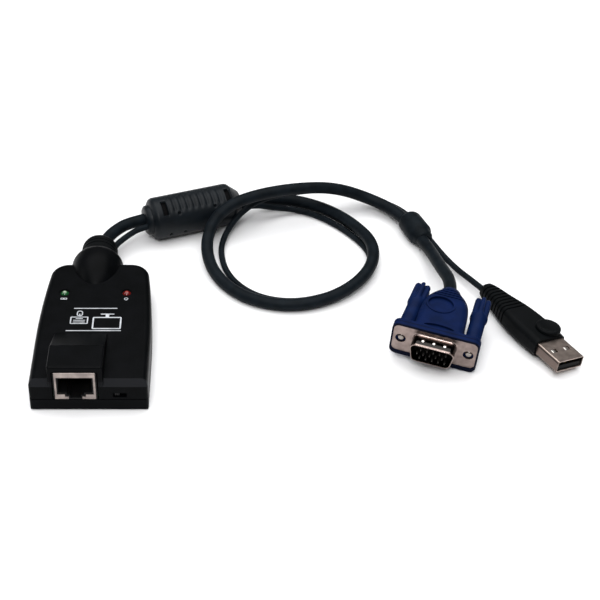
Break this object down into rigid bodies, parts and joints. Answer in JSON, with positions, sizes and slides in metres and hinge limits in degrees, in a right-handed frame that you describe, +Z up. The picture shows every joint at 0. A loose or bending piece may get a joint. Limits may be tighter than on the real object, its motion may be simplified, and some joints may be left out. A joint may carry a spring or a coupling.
{
  "type": "computer interface dongle",
  "caption": "Moulded module with a network socket, status lamps and slide switch; bonded cables run through a ferrite choke and a loop to a video plug with thumbscrews and a USB plug.",
  "frame": {"origin": "centre of the module's bounding box, on the surface it stands on", "axes": "+Z up; the network socket looks along -Y; the cables leave the module along +Y; the plugs lie towards +X"},
  "size_m": [0.1984, 0.1291, 0.0197],
  "materials": {
    "case_plastic": "fine moulded texture",
    "board_laminate": "solder mask",
    "socket_metal": "nickel plated",
    "socket_plastic": "smooth",
    "gold_contact": "gold flash",
    "green_lens": "tinted clear",
    "red_lens": "tinted clear",
    "switch_plastic": "smooth",
    "screw_steel": "nickel plated",
    "soft_vinyl": "satin",
    "cable_vinyl": "satin",
    "ferrite_ceramic": "fired ceramic",
    "hood_vinyl": "satin",
    "plated_steel": "nickel plated",
    "grip_plastic": "satin",
    "tongue_plastic": "smooth"
  },
  "bodies": {
    "dongle": {"upper_cover": "case_plastic", "lower_cover": "case_plastic", "circuit_board": "board_laminate", "socket_shield": "socket_metal", "socket_body": "socket_plastic", "socket_contacts": "gold_contact", "link_lamp": "green_lens", "power_lamp": "red_lens", "switch_housing": "socket_plastic", "case_screws": "screw_steel", "strain_relief": "soft_vinyl", "video_cable": "cable_vinyl", "usb_cable": "cable_vinyl", "ferrite_core": "ferrite_ceramic", "choke_cover": "soft_vinyl", "cable_joiner": "soft_vinyl", "video_hood": "hood_vinyl", "video_shell": "plated_steel", "video_insulator": "socket_plastic", "video_pins": "gold_contact", "usb_shell": "plated_steel", "usb_tongue": "tongue_plastic", "usb_contacts": "gold_contact", "usb_plug_body": "soft_vinyl"},
    "left_thumbscrew": {"jackscrew_left": "screw_steel", "screw_grip_left": "grip_plastic"},
    "right_thumbscrew": {"jackscrew_right": "screw_steel", "screw_grip_right": "grip_plastic"},
    "slide_knob": {"switch_knob": "switch_plastic"}
  },
  "joints": [
    {"name": "left_thumbscrew_turn", "type": "hinge", "parent": "dongle", "child": "left_thumbscrew", "pos_m": [0.11505, -0.00625, 0.01122], "axis": [0.3731, 0.9234, 0.0902], "continuous": true},
    {"name": "right_thumbscrew_turn", "type": "hinge", "parent": "dongle", "child": "right_thumbscrew", "pos_m": [0.13816, -0.01354, 0.00932], "axis": [0.3076, 0.9467, 0.0958], "continuous": true},
    {"name": "switch_slide", "type": "slide", "parent": "dongle", "child": "slide_knob", "axis": [1, 0, 0], "range_m": [0, 0.002]}
  ]
}
